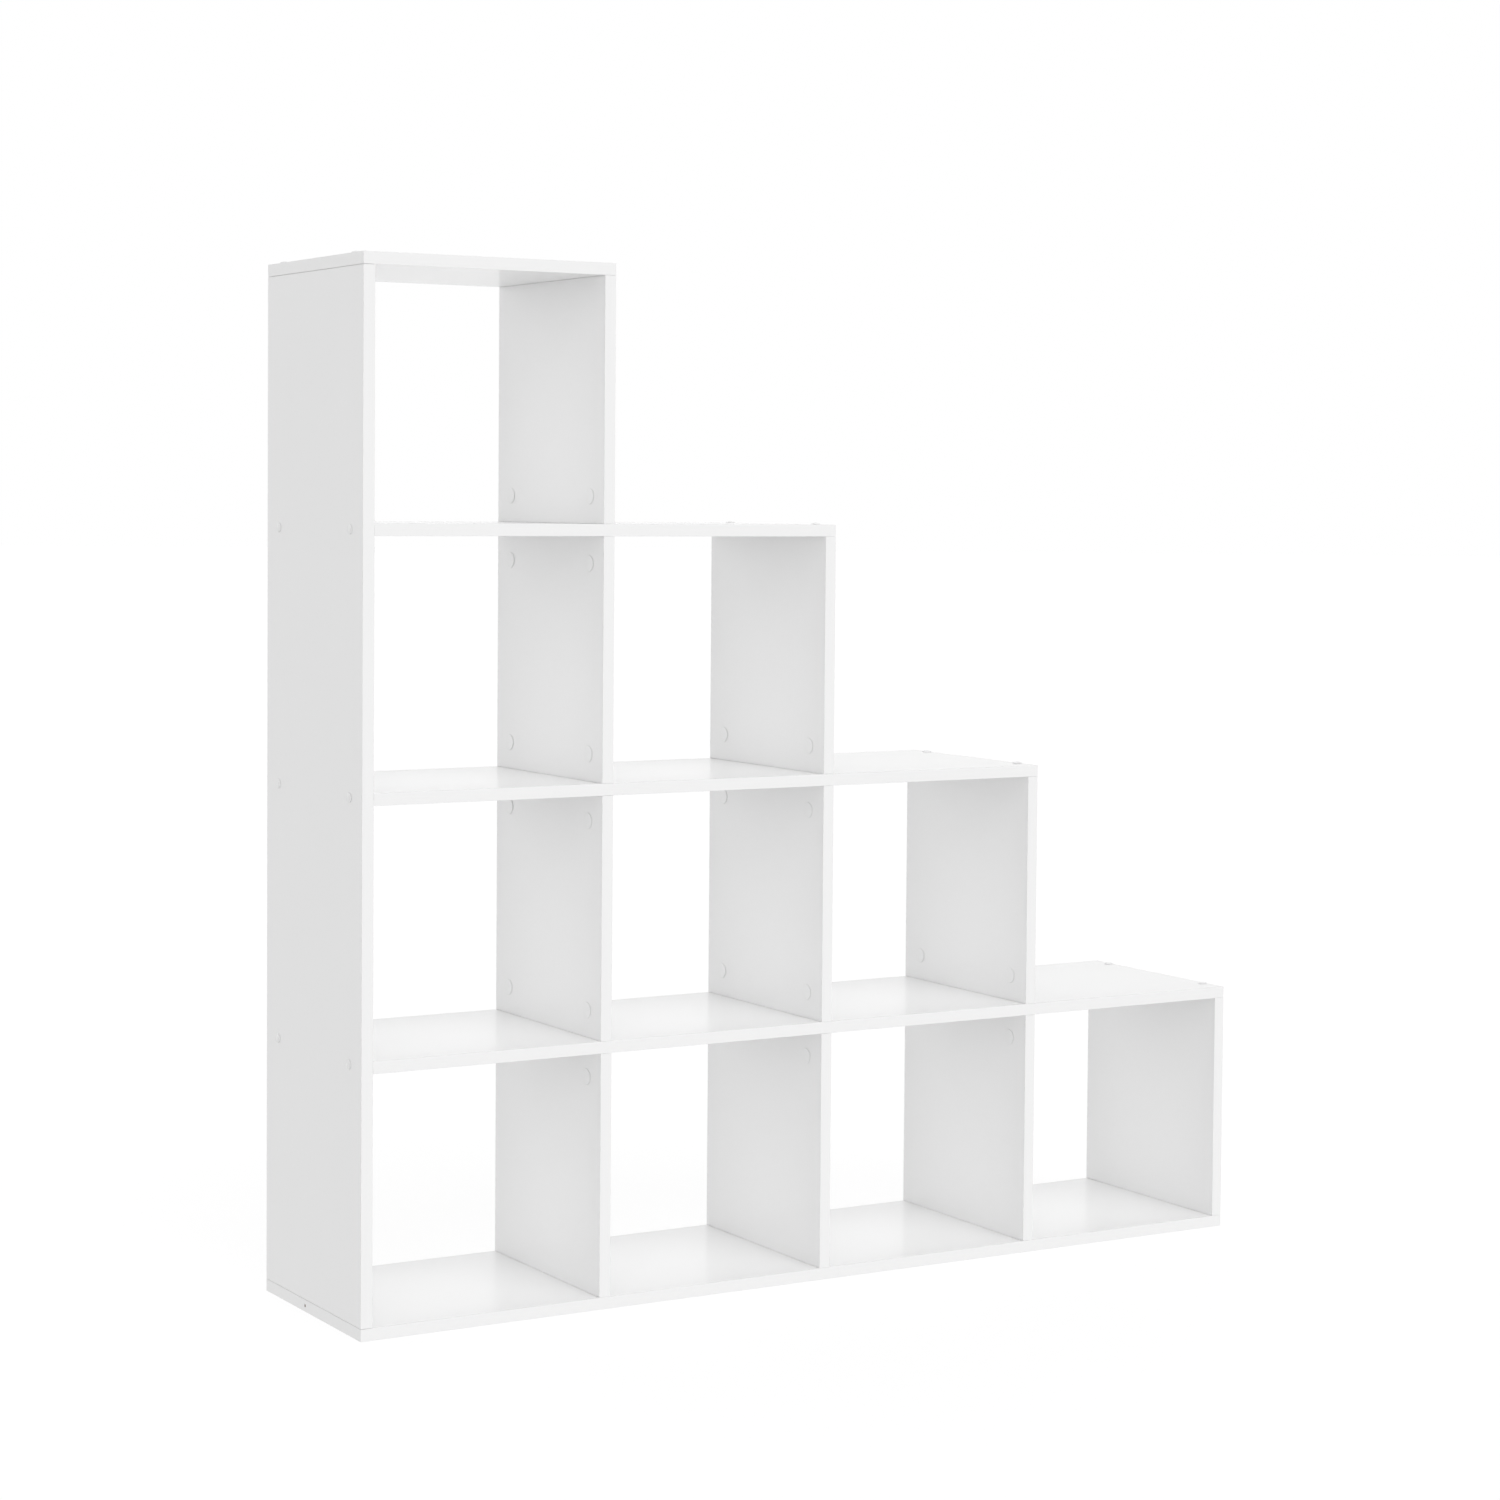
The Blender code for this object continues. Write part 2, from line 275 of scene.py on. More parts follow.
class HardwareSettings(bpy.types.PropertyGroup):
    """Sizes and finish of the screws, caps and cam fittings"""

    cap_colour: FloatVectorProperty(
        name="Cap colour", description="White plastic of the caps and the cam covers",
        default=(0.90, 0.90, 0.90), size=3, min=0.0, max=1.0, subtype="COLOR",
    )
    steel_colour: FloatVectorProperty(
        name="Steel colour", description="Zinc plate on the screws and bolts",
        default=(0.62, 0.62, 0.60), size=3, min=0.0, max=1.0, subtype="COLOR",
    )
    cast_colour: FloatVectorProperty(
        name="Cast colour", description="Cast zinc of the cams",
        default=(0.46, 0.46, 0.47), size=3, min=0.0, max=1.0, subtype="COLOR",
    )
    cap_radius: FloatProperty(
        name="Cap radius", description="Radius of the cap over a screw head",
        default=6.0 * MM, min=1.0 * MM, unit="LENGTH", subtype="DISTANCE",
    )
    cap_height: FloatProperty(
        name="Cap height", description="Height of that cap above the board",
        default=2.4 * MM, min=0.5 * MM, unit="LENGTH", subtype="DISTANCE",
    )
    cap_crown: FloatProperty(
        name="Cap crown", description="Rise of the cap's domed face",
        default=1.0 * MM, min=0.0, unit="LENGTH", subtype="DISTANCE",
    )
    cover_radius: FloatProperty(
        name="Cover radius", description="Radius of the cover over a cam",
        default=10.0 * MM, min=1.0 * MM, unit="LENGTH", subtype="DISTANCE",
    )
    cover_height: FloatProperty(
        name="Cover height", description="Height of that cover above the board",
        default=1.1 * MM, min=0.7 * MM, unit="LENGTH", subtype="DISTANCE",
    )
    cover_crown: FloatProperty(
        name="Cover crown", description="Rise of the cover's domed face",
        default=0.15 * MM, min=0.0, unit="LENGTH", subtype="DISTANCE",
    )
    cover_gap: FloatProperty(
        name="Cover gap", description="Crevice left between the cover's rim and the board",
        default=0.3 * MM, min=0.05 * MM, unit="LENGTH", subtype="DISTANCE",
    )
    thread_pitch: FloatProperty(
        name="Thread pitch", description="From one turn of a screw's thread to the next",
        default=3.0 * MM, min=0.5 * MM, unit="LENGTH", subtype="DISTANCE",
    )
    sides: IntProperty(
        name="Sides", description="Sides of the round pieces", default=48, min=12, max=128,
    )


class StudioSettings(bpy.types.PropertyGroup):
    """The camera, the light of the room and the floor"""

    camera_place: FloatVectorProperty(
        name="Camera place", description="Where the photograph was taken from",
        default=(-2.2167, -3.6666, 1.0002), size=3, unit="LENGTH", subtype="TRANSLATION",
    )
    yaw: FloatProperty(
        name="Yaw", description="Turn of the camera to the right of the bookcase's depth",
        default=math.radians(30.784), subtype="ANGLE",
    )
    pitch: FloatProperty(
        name="Pitch", description="Tilt of the camera below the horizon",
        default=math.radians(2.425), subtype="ANGLE",
    )
    roll: FloatProperty(
        name="Roll", description="Lean of the camera",
        default=math.radians(0.449), subtype="ANGLE",
    )
    lens: FloatProperty(
        name="Lens", description="Focal length in millimetres on a 36 mm sensor",
        default=78.43, min=1.0, unit="CAMERA",
    )
    fall: FloatProperty(
        name="Fall", description="Shift of the lens down, as a share of the picture",
        default=0.0747, subtype="FACTOR",
    )
    room: FloatProperty(
        name="Room", description="Brightness of the white room all round",
        default=0.36, min=0.0,
    )
    left_shade: FloatProperty(
        name="Left shade", description="Share of that brightness that is missing on the left",
        default=1.0, min=0.0, max=1.0, subtype="FACTOR",
    )
    front_glow: FloatProperty(
        name="Front glow", description="How much brighter a soft box makes it high in front",
        default=1.87, min=0.0,
    )
    front_wash: FloatProperty(
        name="Front wash", description="How much brighter the open room makes it in front",
        default=0.45, min=0.0,
    )
    corner_glow: FloatProperty(
        name="Corner glow", description="How much brighter a doorway makes it at the front left corner",
        default=0.516, min=0.0,
    )
    back_glow: FloatProperty(
        name="Back glow", description="How much brighter the lit backdrop makes it behind",
        default=1.925, min=0.0,
    )
    floor_colour: FloatVectorProperty(
        name="Floor colour", description="White of the floor",
        default=(0.94, 0.94, 0.94), size=3, min=0.0, max=1.0, subtype="COLOR",
    )
    floor_glow: FloatProperty(
        name="Floor glow", description="Even light that the floor throws back at the bookcase",
        default=0.783, min=0.0,
    )
    floor_shadow: FloatProperty(
        name="Floor shadow", description="Share of the floor's own shading that the camera sees",
        default=0.2, min=0.0, max=1.0, subtype="FACTOR",
    )
    floor_lift: FloatProperty(
        name="Floor lift", description="White seen for the rest, with which the open floor is just white",
        default=1.055, min=0.0,
    )


# Materials


def material(name, make, look):
    """The material of that name, whose surface make builds the first time that it is asked for."""
    known = bpy.data.materials.get(name)
    if known:
        return known
    new = bpy.data.materials.new(name)
    tree = Tree(new)
    tree.finish(make(tree, look))
    return new


def melamine(tree, look):
    """Satin white melamine: a pressed grain of fine pimples, with faint clouds in tone and gloss."""
    grain = tree.noise(look.grain_size, 3.0, 0.6)
    mottle = tree.noise(4 * MM, 2.0)
    cloud = tree.noise(120 * MM, 1.0)
    tone = 0.6 * mottle + 0.4 * cloud
    return tree.surface(
        Base_Color=tree.blend(tone, shaded(look.face_colour, 0.985), shaded(look.face_colour, 1.015)),
        Roughness=look.roughness - 0.03 + 0.06 * mottle,
        Normal=tree.bump(grain, look.grain_depth),
        **TOP_COAT,
    )


def edge_band(tree, look):
    """Edge band: smoother than the faces, with a faint wave from the glue under it."""
    streak = tree.noise(1.2 * MM, 2.0)
    wave = tree.noise(30 * MM, 1.0)
    return tree.surface(
        Base_Color=tree.blend(streak, shaded(look.band_colour, 0.99), shaded(look.band_colour, 1.01)),
        Roughness=look.roughness + 0.05 * wave,
        Normal=tree.bump(0.7 * wave + 0.3 * streak, 0.01 * MM),
        **TOP_COAT,
    )


def particleboard(tree, look):
    """Raw particleboard: chips in several browns with dark pores."""
    inputs = {"Vector": tree.place(), "Scale": 1 / (1.1 * MM)}
    chips = tree.node("ShaderNodeTexVoronoi", None, inputs, "Color")
    tone = tree.node("ShaderNodeSeparateColor", None, {"Color": chips})
    pores = tree.noise(0.8 * MM, 4.0, 0.7)
    dark, pale = shaded(look.chip_colour, 0.55), shaded(look.chip_colour, 1.5)
    return tree.surface(
        Base_Color=tree.blend(0.7 * tone + 0.3 * pores, dark, pale),
        Roughness=0.75 + 0.2 * pores,
        Normal=tree.bump(pores, 0.3 * MM),
    )


def cap_plastic(tree, look):
    """Moulded white plastic with the fine texture of a spark-eroded mould."""
    spark = tree.noise(0.4 * MM, 2.0)
    flow = tree.noise(6 * MM, 1.0)
    return tree.surface(
        Base_Color=tree.blend(flow, shaded(look.cap_colour, 0.98), shaded(look.cap_colour, 1.01)),
        Roughness=0.28 + 0.08 * spark,
        Normal=tree.bump(spark, 0.008 * MM),
        **TOP_COAT,
    )


def metal(tree, rgb, roughness, lump):
    """Plated or cast metal: spangles of tone, lump metres across, and finer scuffs in the gloss."""
    spangle = tree.noise(lump, 3.0, 0.6)
    scuff = tree.noise(lump / 4, 2.0)
    return tree.surface(
        Base_Color=tree.blend(spangle, shaded(rgb, 0.85), shaded(rgb, 1.1)),
        Metallic=1.0,
        Roughness=roughness + 0.16 * scuff,
        Normal=tree.bump(scuff, 0.01 * MM),
    )


def zinc_plate(tree, look):
    """Bright zinc plate on turned steel."""
    return metal(tree, look.steel_colour, 0.26, 2 * MM)


def cast_zinc(tree, look):
    """Duller, coarser cast zinc."""
    return metal(tree, look.cast_colour, 0.42, 0.8 * MM)


def pale_floor(tree, look):
    """Floor that lights evenly, as a light table does, and is seen white with a share of its shadows."""
    cloud = tree.noise(800 * MM, 2.0)
    matt = tree.surface(
        Base_Color=tree.blend(cloud, shaded(look.floor_colour, 0.995), shaded(look.floor_colour)),
        Roughness=0.9,
        Specular_IOR_Level=0.0,
    )
    glow = tree.node("ShaderNodeEmission", None, {"Color": WHITE, "Strength": look.floor_glow})
    plain = tree.node("ShaderNodeEmission", None, {"Color": WHITE, "Strength": look.floor_lift})
    shadowed = tree.mixed(look.floor_shadow, plain, matt)
    return tree.mixed(tree.seen_or_mirrored(), glow, shadowed)


# Meshes


def shade(mesh):
    """Smooth, with the sharp edges kept."""
    mesh.shade_smooth()
    mesh.set_sharp_from_angle(angle=SMOOTH_ANGLE)


def mesh_of(bm, name):
    """A shaded mesh of what was built in bm, which is freed."""
    mesh = bpy.data.meshes.new(name)
    bm.to_mesh(mesh)
    bm.free()
    shade(mesh)
    return mesh


def box_mesh(name, low, high, rounding=0.0, steps=1):
    """A box between two corners, its edges rounded."""
    bm = bmesh.new()
    place = Matrix.Translation((low + high) / 2) @ Matrix.Diagonal((*(high - low), 1))
    bmesh.ops.create_cube(bm, size=1, matrix=place)
    if rounding:
        bmesh.ops.bevel(
            bm, geom=bm.edges[:], offset=rounding, segments=steps, profile=0.5, affect="EDGES"
        )
    return mesh_of(bm, name)


def ringed_mesh(name, rings):
    """A closed solid about +Z of rings of points, each a height and its radii, closed at both ends."""
    bm = bmesh.new()
    loops = []
    for height, radii in rings:
        turns = [math.tau * side / len(radii) for side in range(len(radii))]
        loops.append([
            bm.verts.new((radius * math.cos(turn), radius * math.sin(turn), height))
            for turn, radius in zip(turns, radii)
        ])
    for upper, lower in zip(loops, loops[1:]):
        for side in range(len(upper)):
            after = (side + 1) % len(upper)
            bm.faces.new((upper[side], lower[side], lower[after], upper[after]))
    bm.faces.new(loops[0])
    bm.faces.new(reversed(loops[-1]))
    bmesh.ops.recalc_face_normals(bm, faces=bm.faces)
    return mesh_of(bm, name)


def turned_mesh(name, profile, sides):
    """A closed solid of revolution about +Z, from (radius, height) points from top to bottom."""
    return ringed_mesh(name, [(height, [radius] * sides) for radius, height in profile])


def facing(point, out):
    """Placement of a fitting whose outer side is at a point of a board's face that looks along out."""
    return Matrix.Translation(point) @ out.to_track_quat("Z", "Y").to_matrix().to_4x4()


def carved_mesh(name, base, steps):
    """The base mesh after Boolean steps, each an operation and the mesh that it works with."""
    things = [bpy.data.objects.new(name, base)]
    for operation, mesh in steps:
        tool = bpy.data.objects.new(f"{name}_tool", mesh)
        things.append(tool)
        step = things[0].modifiers.new(operation.lower(), "BOOLEAN")
        step.operation = operation
        step.object = tool
    for thing in things:
        bpy.context.scene.collection.objects.link(thing)
    graph = bpy.context.evaluated_depsgraph_get()
    mesh = bpy.data.meshes.new_from_object(things[0].evaluated_get(graph))
    mesh.name = name
    mesh.materials.clear()
    for thing in things:
        bpy.data.objects.remove(thing)
    shade(mesh)
    return mesh


def add_piece(name, mesh, place, materials, node):
    """A piece that stands for a node of the CAD, with a slot for each of its materials."""
    piece = bpy.data.objects.new(name, mesh)
    bpy.context.scene.collection.objects.link(piece)
    piece.matrix_world = place
    if not mesh.materials:
        for each in materials:
            mesh.materials.append(each)
    flat = piece.modifiers.new("flat_faces", "WEIGHTED_NORMAL")
    flat.keep_sharp = True
    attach(piece, BODY)
    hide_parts(node)
    return piece


# Where the hardware goes


def screw_place(node):
    """Placement of a screw from its node's box: its head at the board's face, looking out."""
    low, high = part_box(node)
    point = (low + high) / 2
    if node.startswith("side"):
        point.x = high.x - SCREW_LENGTH
        return facing(point, LEFT)
    if node.startswith("base"):
        point.z = high.z - SCREW_LENGTH
        return facing(point, DOWN)
    point.z = low.z + SCREW_LENGTH
    return facing(point, UP)


def cam_places(node):
    """Placements of a cam fitting's lower and upper cam, at the left faces of its two uprights."""
    _, _, row, column, _ = node.split("_")
    low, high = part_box(node)
    point = (low + high) / 2
    point.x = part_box(f"upright_{row}_{column}")[0].x
    return [facing(point + side * CAM_HEIGHT * UP, LEFT) for side in (-1, 1)]


def bolt_place(node):
    """Placement of a cam fitting's bolt: the middle of the shelf that it goes through."""
    lower, upper = (place.translation for place in cam_places(node))
    return Matrix.Translation((lower + upper) / 2 - BOARD / 2 * LEFT)


# Drilled holes


class Drill:
    """The shape of a drilled hole in its place, and the box that it reaches."""

    def __init__(self, mesh, place):
        self.mesh = mesh
        self.place = place
        points = [place @ vertex.co for vertex in mesh.vertices]
        self.low = [min(point[axis] for point in points) for axis in AXES]
        self.high = [max(point[axis] for point in points) for axis in AXES]

    def reaches(self, low, high):
        """Whether the hole's box meets the box between two corners."""
        return all(self.low[axis] < high[axis] and self.high[axis] > low[axis] for axis in AXES)


def drills(sides):
    """Every hole in two groups, the wide bores and the rest, so that no two in a group overlap."""
    through = turned_mesh("through_drill", [
        (HEAD_HOLE, OVERSHOOT), (HEAD_HOLE, -HEAD_RECESS),
        (SCREW_HOLE, -HEAD_RECESS - HEAD_CONE), (SCREW_HOLE, -SCREW_LENGTH - OVERSHOOT),
    ], sides)
    bore = turned_mesh("cam_drill", [(CAM_HOLE, OVERSHOOT), (CAM_HOLE, -CAM_HOLE_DEPTH)], sides)
    channel = turned_mesh("bolt_drill", [(BOLT_HOLE, CAM_HEIGHT), (BOLT_HOLE, -CAM_HEIGHT)], sides)
    end = turned_mesh("end_drill", [(END_HOLE_RADIUS, OVERSHOOT), (END_HOLE_RADIUS, -END_HOLE_DEPTH)], sides)
    low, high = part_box("bottom_board")
    mouth = Vector((low.x, high.y - END_HOLE_FROM_BACK, (low.z + high.z) / 2))
    bores = [Drill(bore, place) for node in CAM_FITTINGS for place in cam_places(node)]
    bores += [Drill(end, facing(mouth, LEFT))]
    holes = [Drill(through, screw_place(node)) for node in SCREWS]
    holes += [Drill(channel, bolt_place(node)) for node in CAM_FITTINGS]
    return bores, holes


def joined_mesh(name, drilled):
    """One mesh of several drills."""
    bm = bmesh.new()
    for drill in drilled:
        known = len(bm.verts)
        bm.from_mesh(drill.mesh)
        bm.verts.ensure_lookup_table()
        bmesh.ops.transform(bm, matrix=drill.place, verts=bm.verts[known:])
    return mesh_of(bm, name)


# Boards


def thin_axis(low, high):
    """The axis along which a board is thinnest."""
    return min(AXES, key=lambda axis: (high - low)[axis])


def board_corners(node, look):
    """A board's corners. The short uprights and the shelves are drawn up to what they butt on."""
    low, high = (corner.copy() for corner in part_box(node))
    slack = JOINT - look.joint
    if node.startswith("upright"):
        low.z -= slack
        high.z += slack
    elif node.startswith("shelf"):
        low.x -= slack
    return low, high


def board_layout(low, high, look):
    """The boxes of a board's four edge bands and of its panel, by name, beyond its outer faces."""
    long = X_AXIS if thin_axis(low, high) == Z_AXIS else Z_AXIS
    spare = Vector((OVERSHOOT,) * 3)
    panel_low, panel_high = low - spare, high + spare
    layout = {}
    for axis, (first, last) in ((Y_AXIS, ("front", "back")), (long, ("low_end", "high_end"))):
        inner_low, inner_high = panel_low.copy(), panel_high.copy()
        inner_high[axis] = low[axis] + look.band_thickness
        inner_low[axis] = high[axis] - look.band_thickness
        layout[f"{first}_band"] = (panel_low.copy(), inner_high)
        layout[f"{last}_band"] = (inner_low, panel_high.copy())
        panel_low[axis] = low[axis] + look.band_thickness + look.glue_line
        panel_high[axis] = high[axis] - look.band_thickness - look.glue_line
    layout["panel"] = (panel_low, panel_high)
    return layout


def mark_faces(mesh, thin, low, high):
    """Gives a panel's two outer faces its first material, and the raw board its second."""
    for polygon in mesh.polygons:
        height = polygon.center[thin]
        depth = min(height - low[thin], high[thin] - height)
        polygon.material_index = 0 if depth < FACE_SLACK else 1


def add_board(node, look, groups):
    """A board as it is made: a drilled and faced panel with bands glued round its four edges."""
    low, high = board_corners(node, look)
    outline = box_mesh(f"{node}_outline", low, high, look.rounding, look.rounding_steps)
    face = material("white_melamine", melamine, look)
    band = material("white_edge_band", edge_band, look)
    chip = material("raw_particleboard", particleboard, look)
    for word, corners in board_layout(low, high, look).items():
        name = f"{node}_{word}"
        steps = [("INTERSECT", box_mesh(f"{name}_cut", *corners))]
        for group in groups:
            drilled = [drill for drill in group if drill.reaches(*corners)]
            if drilled:
                steps.append(("DIFFERENCE", joined_mesh(f"{name}_holes", drilled)))
        mesh = carved_mesh(name, outline, steps)
        if word == "panel":
            mark_faces(mesh, thin_axis(low, high), low, high)
        materials = [face, chip] if word == "panel" else [band]
        add_piece(name, mesh, Matrix(), materials, node)


def add_boards(nodes, context):
    """Boards for the nodes, each drilled wherever a hole reaches it."""
    groups = drills(context.scene.bookcase_hardware.sides)
    for node in nodes:
        add_board(node, context.scene.bookcase_boards, groups)


class BOOKCASE_OT_shelves(bpy.types.Operator):
    """Make the bottom board, the shelves and the top board"""

    bl_idname = "bookcase.shelves"
    bl_label = "Bottom board, shelves and top board"

    def execute(self, context):
        add_boards(LEVELS, context)
        return {"FINISHED"}


class BOOKCASE_OT_uprights(bpy.types.Operator):
    """Make the side panel and the uprights"""

    bl_idname = "bookcase.uprights"
    bl_label = "Side panel and uprights"

    def execute(self, context):
        add_boards(UPRIGHTS, context)
        return {"FINISHED"}


# Screws, caps and cam fittings


def button(radius, height, crown, seat, steps=6):
    """Profile of a disc with a domed face and a rounded rim, from its middle to its underside."""
    edge = 0.5 * MM
    middle = 0.02 * radius
    flat, shoulder = radius - edge, height - crown - edge
    profile = [(middle, height)]
    for step in range(1, steps + 1):
        share = step / steps
        profile.append((flat * share, height - crown * share ** 2))
    for step in range(1, steps + 1):
        turn = math.pi / 2 * step / steps
        profile.append((flat + edge * math.sin(turn), shoulder + edge * math.cos(turn)))
    return [*profile, (radius, seat)]


def peg(radius, length, seat):
    """Profile of the peg under a button, with a chamfered tip."""
    chamfer = 0.4 * MM
    return [(radius, seat), (radius, chamfer - length), (radius - chamfer, -length)]


def cap_mesh(look):
    """Push-in cap: a domed button, and a peg for the screw's socket."""
    seat = 0.15 * MM
    disc = button(look.cap_radius, look.cap_height, look.cap_crown, seat)
    return turned_mesh("screw_cap", [*disc, *peg(1.7 * MM, 2.6 * MM, seat)], look.sides)


def cover_mesh(look):
    """Cam cover: a thin disc that stands off the board by a hair, and a peg for the cam's socket."""
    disc = button(look.cover_radius, look.cover_height, look.cover_crown, look.cover_gap)
    return turned_mesh("cam_cover", [*disc, *peg(1.5 * MM, 2.0 * MM, look.cover_gap)], look.sides)


def thread_radius(height, turn, look):
    """Radius of a screw's thread at a height and a turn: narrow crests on a plain root."""
    root = 2.3 * MM
    flank, bluntness = 0.28, 1.4
    phase = (height / look.thread_pitch + turn / math.tau) % 1.0
    ridge = max(0.0, 1.0 - abs(phase - 0.5) / flank)
    return root + (SCREW_CREST - root) * min(1.0, bluntness * ridge)


def screw_mesh(look):
    """Countersunk screw with a hex socket, a coarse thread and a tapered tip."""
    sides = look.sides // 2
    neck = -HEAD_RECESS - HEAD_CONE
    start, tip = neck - 1.5 * MM, -SCREW_LENGTH
    taper, point = 6 * MM, 0.25
    rim = HEAD_RADIUS - 0.05 * MM
    rings = [
        (-HEAD_RECESS, [rim - 0.25 * MM] * sides),
        (-HEAD_RECESS - 0.1 * MM, [rim] * sides),
        (-HEAD_RECESS - 0.35 * MM, [rim] * sides),
        (neck, [2.6 * MM] * sides),
        (start, [2.4 * MM] * sides),
    ]
    step = look.thread_pitch / 10
    for index in range(1, int((start - tip) / step)):
        height = start - index * step
        fade = min(1.0, (height - tip) / taper)
        radii = [thread_radius(height, math.tau * side / sides, look) for side in range(sides)]
        rings.append((height, [radius * (point + (1.0 - point) * fade) for radius in radii]))
    rings.append((tip, [0.3 * MM] * sides))
    body = ringed_mesh("screw_body", rings)
    key, depth, pit = 2.3 * MM, 3.0 * MM, 0.6 * MM
    socket = turned_mesh("hex_key", [(key, OVERSHOOT), (key, -depth), (0.4 * MM, -depth - pit)], 6)
    return carved_mesh("screw", body, [("DIFFERENCE", socket)])


def cam_mesh(look):
    """Cam: two discs on a core that grips the bolt's head, with a cross slot for the driver."""
    top, bottom = -0.3 * MM, -CAM_DEPTH
    groove_top, groove_bottom, core = -4.0 * MM, -10.9 * MM, 2.6 * MM
    chamfer = 0.3 * MM
    edge = CAM_RADIUS - chamfer
    body = turned_mesh("cam_body", [
        (edge, top), (CAM_RADIUS, top - chamfer), (CAM_RADIUS, groove_top), (core, groove_top),
        (core, groove_bottom), (CAM_RADIUS, groove_bottom), (CAM_RADIUS, bottom + chamfer),
        (edge, bottom),
    ], look.sides)
    half, width, depth = 4.2 * MM, 0.9 * MM, 2.4 * MM
    steps = []
    for across, along in ((half, width), (width, half)):
        low = Vector((-across, -along, top - depth))
        high = Vector((across, along, OVERSHOOT))
        steps.append(("DIFFERENCE", box_mesh("cross_slot", low, high)))
    socket = turned_mesh("cross_socket", [(1.8 * MM, OVERSHOOT), (1.8 * MM, top - depth)], look.sides)
    return carved_mesh("cam", body, [*steps, ("DIFFERENCE", socket)])


def bolt_mesh(look):
    """Double-ended bolt: a thick shank with a neck and a round head at each end, for two cams."""
    neck, cheek, head = 1.7 * MM, 2.4 * MM, 2.8 * MM
    end = CAM_HEIGHT - head
    shoulder = end - 7.0 * MM
    half = [
        (1.4 * MM, end), (cheek, end - 0.5 * MM), (head, end - 1.4 * MM), (cheek, end - 2.4 * MM),
        (neck, end - 2.9 * MM), (neck, shoulder), (BOLT_RADIUS - 0.4 * MM, shoulder),
        (BOLT_RADIUS, shoulder - 0.6 * MM), (BOLT_RADIUS, 1.0 * MM), (BOLT_RADIUS - 0.3 * MM, 0.8 * MM),
    ]
    profile = half + [(radius, -height) for radius, height in reversed(half)]
    return turned_mesh("bolt", profile, look.sides // 2)


class BOOKCASE_OT_screws(bpy.types.Operator):
    """Put in the countersunk screws, and the caps where the boards' faces show"""

    bl_idname = "bookcase.screws"
    bl_label = "Screws and caps"

    def execute(self, context):
        look = context.scene.bookcase_hardware
        plate = material("zinc_plate", zinc_plate, look)
        plastic = material("cap_plastic", cap_plastic, look)
        screw = screw_mesh(look)
        cap = cap_mesh(look)
        for node in SCREWS:
            place = screw_place(node)
            add_piece(f"{node}_body", screw, place, [plate], node)
            if not node.startswith("base"):
                add_piece(f"{node}_cap", cap, place, [plastic], node)
        return {"FINISHED"}


class BOOKCASE_OT_cam_fittings(bpy.types.Operator):
    """Put in the bolts, cams and cam covers"""

    bl_idname = "bookcase.cam_fittings"
    bl_label = "Bolts, cams and covers"

    def execute(self, context):
        look = context.scene.bookcase_hardware
        plate = material("zinc_plate", zinc_plate, look)
        cast = material("cast_zinc", cast_zinc, look)
        plastic = material("cap_plastic", cap_plastic, look)
        bolt = bolt_mesh(look)
        cam = cam_mesh(look)
        cover = cover_mesh(look)
        for node in CAM_FITTINGS:
            add_piece(f"{node}_bolt", bolt, bolt_place(node), [plate], node)
            for word, place in zip(("lower", "upper"), cam_places(node)):
                add_piece(f"{node}_{word}_cam", cam, place, [cast], node)
                add_piece(f"{node}_{word}_cover", cover, place, [plastic], node)
        return {"FINISHED"}


# Studio


def add_camera(look):
    """The camera of the photograph, its lens shifted down instead of tilted."""
    data = bpy.data.cameras.new("camera")
    data.sensor_width = SENSOR_WIDTH
    data.lens = look.lens
    data.shift_y = -look.fall
    data.clip_end = VIEW_DISTANCE
    camera = bpy.data.objects.new("camera", data)
    bpy.context.scene.collection.objects.link(camera)
    turn = Matrix.Rotation(-look.yaw, 4, "Z")
    tilt = Matrix.Rotation(-look.pitch, 4, "X")
    lean = Matrix.Rotation(-look.roll, 4, "Y")
    level = Matrix.Rotation(math.pi / 2, 4, "X")
    camera.matrix_world = Matrix.Translation(look.camera_place) @ turn @ tilt @ lean @ level
    bpy.context.scene.camera = camera


def add_floor(look):
    """A round floor under the bookcase, out to the horizon."""
    bm = bmesh.new()
    bmesh.ops.create_circle(bm, cap_ends=True, segments=64, radius=FLOOR_RADIUS)
    floor = bpy.data.objects.new("floor", mesh_of(bm, "floor"))
    floor.data.materials.append(material("pale_floor", pale_floor, look))
    floor.location.z = CAD_BOX[0].z
    bpy.context.scene.collection.objects.link(floor)


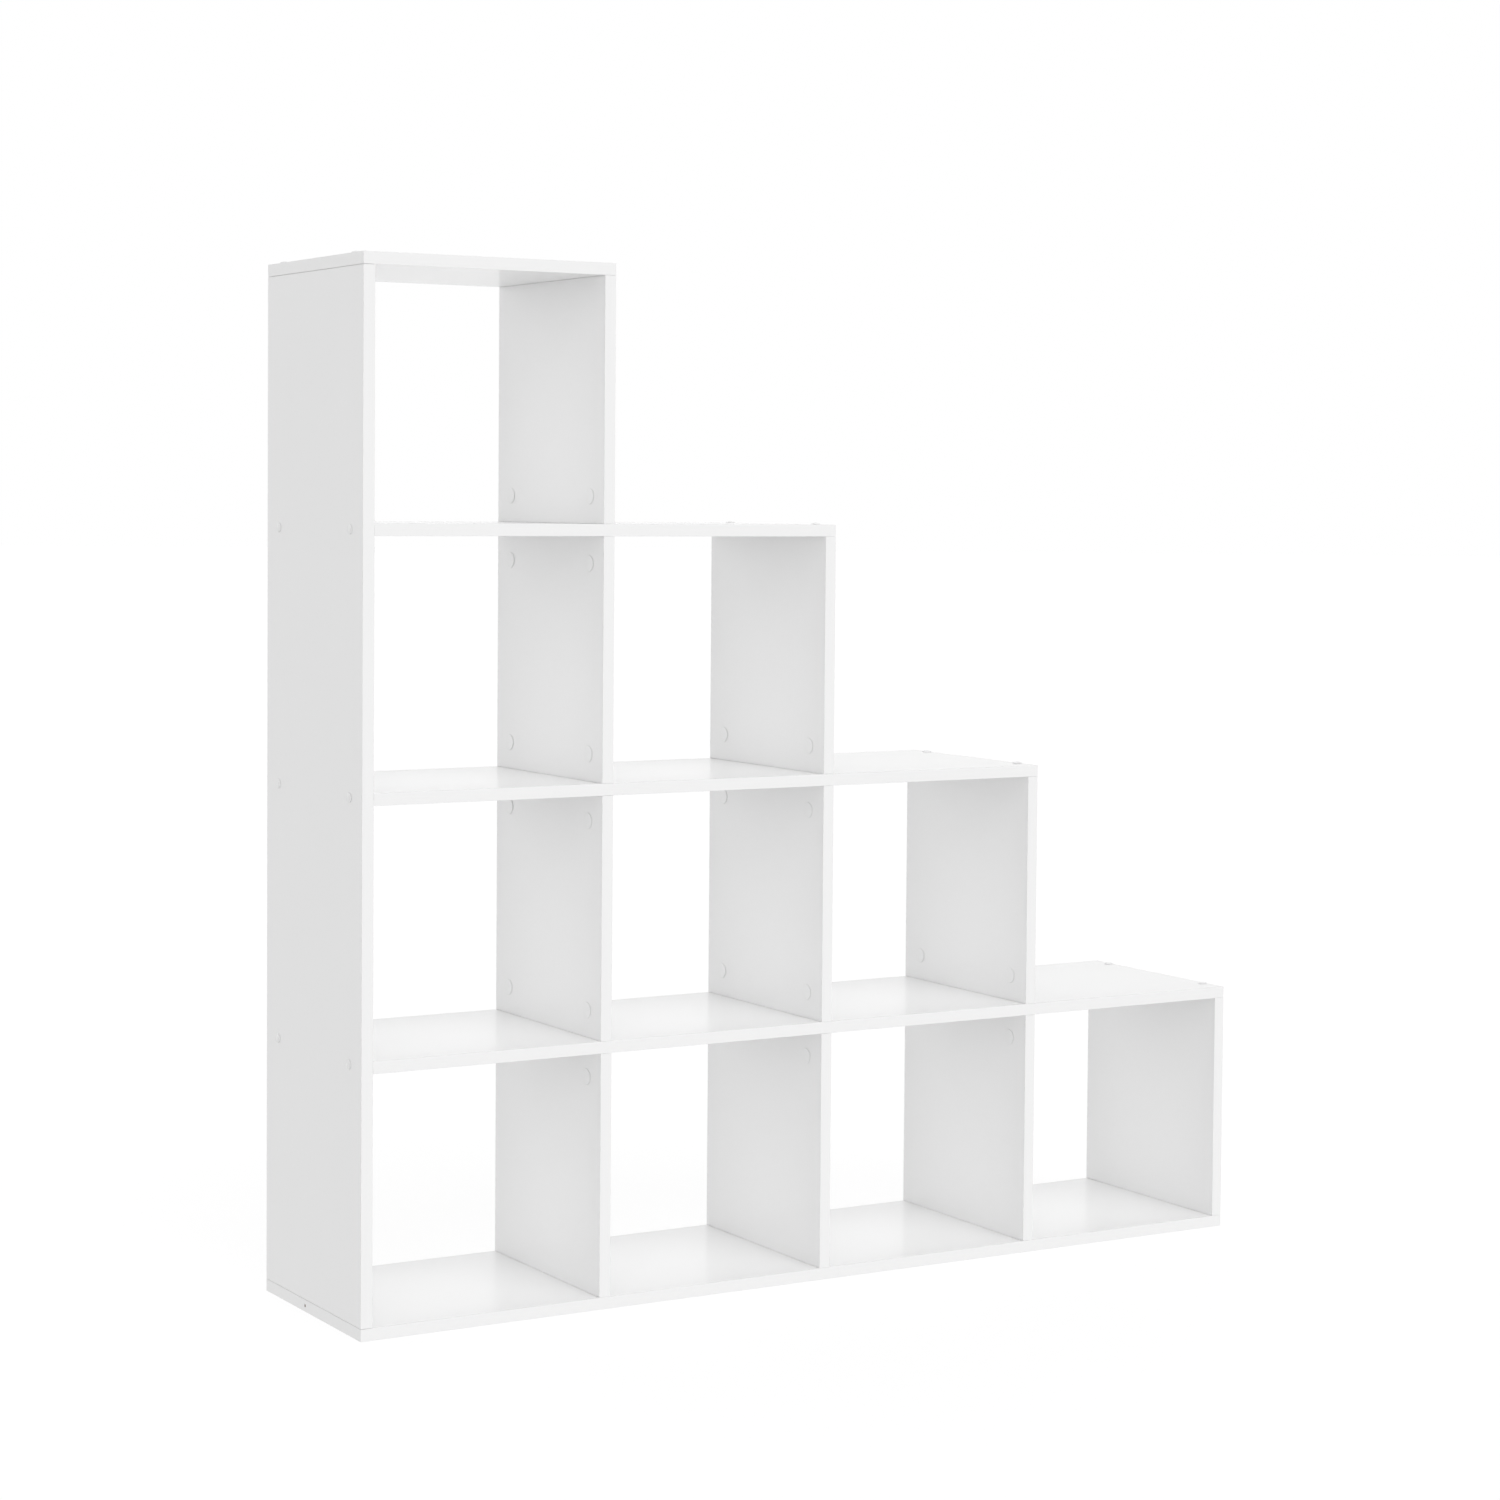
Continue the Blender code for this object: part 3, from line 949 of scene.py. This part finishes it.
def light_room(look):
    """A white room with a soft box and a doorway in front, a lit backdrop and a dark left, seen as white."""
    world = bpy.data.worlds.new("white_room")
    bpy.context.scene.world = world
    tree = Tree(world)
    way = tree.node("ShaderNodeTexCoord", output="Generated")

    def towards(direction, narrowness):
        """1 in a direction, falling to 0 at right angles to it."""
        inputs = {0: way, 1: direction.normalized()}
        share = tree.node("ShaderNodeVectorMath", {"operation": "DOT_PRODUCT"}, inputs, "Value")
        return share.most(0.0) ** narrowness

    level = look.room * (1.0 - look.left_shade * towards(LEFT, NARROW))
    level = level + look.front_glow * towards(SOFT_BOX, NARROW)
    level = level + look.front_wash * towards(FRONT, BROAD)
    level = level + look.corner_glow * towards(DOORWAY, NARROW)
    level = level + look.back_glow * towards(BACKDROP, BROAD)
    room = tree.node("ShaderNodeBackground", None, {"Color": WHITE, "Strength": level})
    plain = tree.node("ShaderNodeBackground", None, {"Color": WHITE, "Strength": 1.0})
    tree.finish(tree.mixed(tree.seen_or_mirrored(), room, plain), "World")


class BOOKCASE_OT_studio(bpy.types.Operator):
    """Set up the camera, the floor and the white room"""

    bl_idname = "bookcase.studio"
    bl_label = "Studio"

    def execute(self, context):
        look = context.scene.bookcase_studio
        add_camera(look)
        add_floor(look)
        light_room(look)
        context.scene.view_settings.view_transform = "Standard"
        return {"FINISHED"}


class BOOKCASE_PT_sidebar(bpy.types.Panel):
    """The bookcase's operators and settings"""

    bl_idname = "BOOKCASE_PT_sidebar"
    bl_label = "Bookcase"
    bl_space_type = "VIEW_3D"
    bl_region_type = "UI"
    bl_category = "Bookcase"

    def draw(self, context):
        for operator in OPERATORS:
            self.layout.operator(operator.bl_idname)
        for name in SETTINGS:
            box = self.layout.box()
            settings = getattr(context.scene, name)
            for field in settings.bl_rna.properties:
                if field.identifier not in ("rna_type", "name"):
                    box.prop(settings, field.identifier)


OPERATORS = (
    BOOKCASE_OT_studio,
    BOOKCASE_OT_shelves,
    BOOKCASE_OT_uprights,
    BOOKCASE_OT_screws,
    BOOKCASE_OT_cam_fittings,
)
SETTINGS = {
    "bookcase_boards": BoardSettings,
    "bookcase_hardware": HardwareSettings,
    "bookcase_studio": StudioSettings,
}


def register():
    for kind in (*SETTINGS.values(), *OPERATORS, BOOKCASE_PT_sidebar):
        bpy.utils.register_class(kind)
    for name, kind in SETTINGS.items():
        setattr(bpy.types.Scene, name, PointerProperty(type=kind))


def unregister():
    for name in SETTINGS:
        delattr(bpy.types.Scene, name)
    for kind in (BOOKCASE_PT_sidebar, *reversed(OPERATORS), *SETTINGS.values()):
        bpy.utils.unregister_class(kind)


def main():
    register()
    bpy.ops.bookcase.studio()
    bpy.ops.bookcase.shelves()
    bpy.ops.bookcase.uprights()
    bpy.ops.bookcase.screws()
    bpy.ops.bookcase.cam_fittings()


if __name__ == "__main__":
    main()
